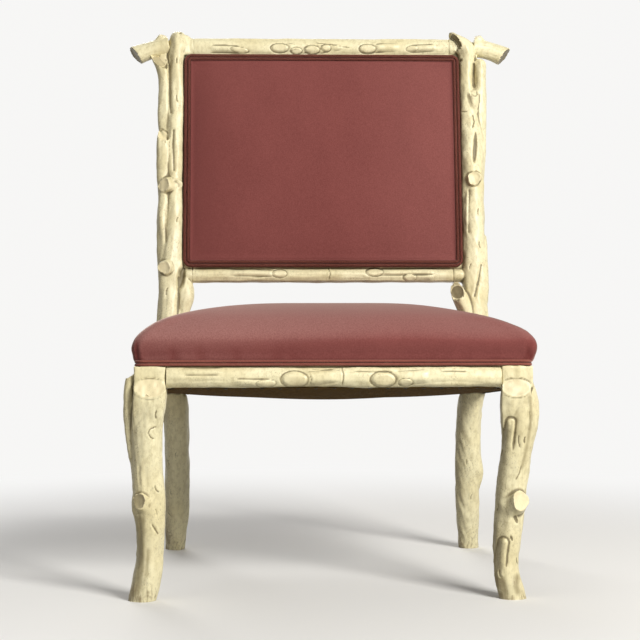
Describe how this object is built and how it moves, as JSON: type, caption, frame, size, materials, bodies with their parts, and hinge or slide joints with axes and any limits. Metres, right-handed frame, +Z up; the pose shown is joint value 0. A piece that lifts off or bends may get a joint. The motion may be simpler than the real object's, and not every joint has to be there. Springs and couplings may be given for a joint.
{
  "type": "faux bois chair",
  "caption": "Armless upholstered chair whose painted frame is carved as knotty branches, with a domed seat, a framed back and cut branch ends beside the crest.",
  "frame": {"origin": "on the floor, under the middle of the chair's bounding box", "axes": "+Z up, the chair faces -Y, +X to the right as seen from the front"},
  "size_m": [0.7136, 0.6104, 0.9562],
  "materials": {
    "paint": "old cream paint, rubbed and glazed brown in the hollows",
    "bare_wood": "unfinished hardwood",
    "steel": "plain steel",
    "jute": "woven jute webbing",
    "hessian": "coarse sacking",
    "stuffing": "felted stuffing",
    "velvet": "short-pile velvet, dusty rose",
    "welt": "piping in the same velvet",
    "dust_cloth": "thin dark olive-brown cloth"
  },
  "bodies": {
    "root": {"front_leg_left": "paint", "front_leg_right": "paint", "back_post_left": "paint", "back_post_right": "paint", "front_seat_rail": "paint", "side_seat_rail_left": "paint", "side_seat_rail_right": "paint", "rear_seat_rail": "paint", "lower_back_rail": "paint", "crest_rail": "paint", "crest_stub_left": "paint", "crest_stub_right": "paint", "corner_blocks": "bare_wood", "corner_block_screws": "steel", "seat_rail_dowels": "bare_wood", "back_rail_dowels": "bare_wood", "crest_stub_dowels": "bare_wood", "seat_webbing": "jute", "seat_hessian": "hessian", "seat_foam": "stuffing", "seat_cover": "velvet", "seat_welt": "welt", "dust_cover": "dust_cloth", "back_webbing": "jute", "back_hessian": "hessian", "back_foam": "stuffing", "back_cover": "velvet", "back_welt_front": "welt", "back_outside_cover": "velvet", "back_welt_rear": "welt"}
  },
  "joints": []
}
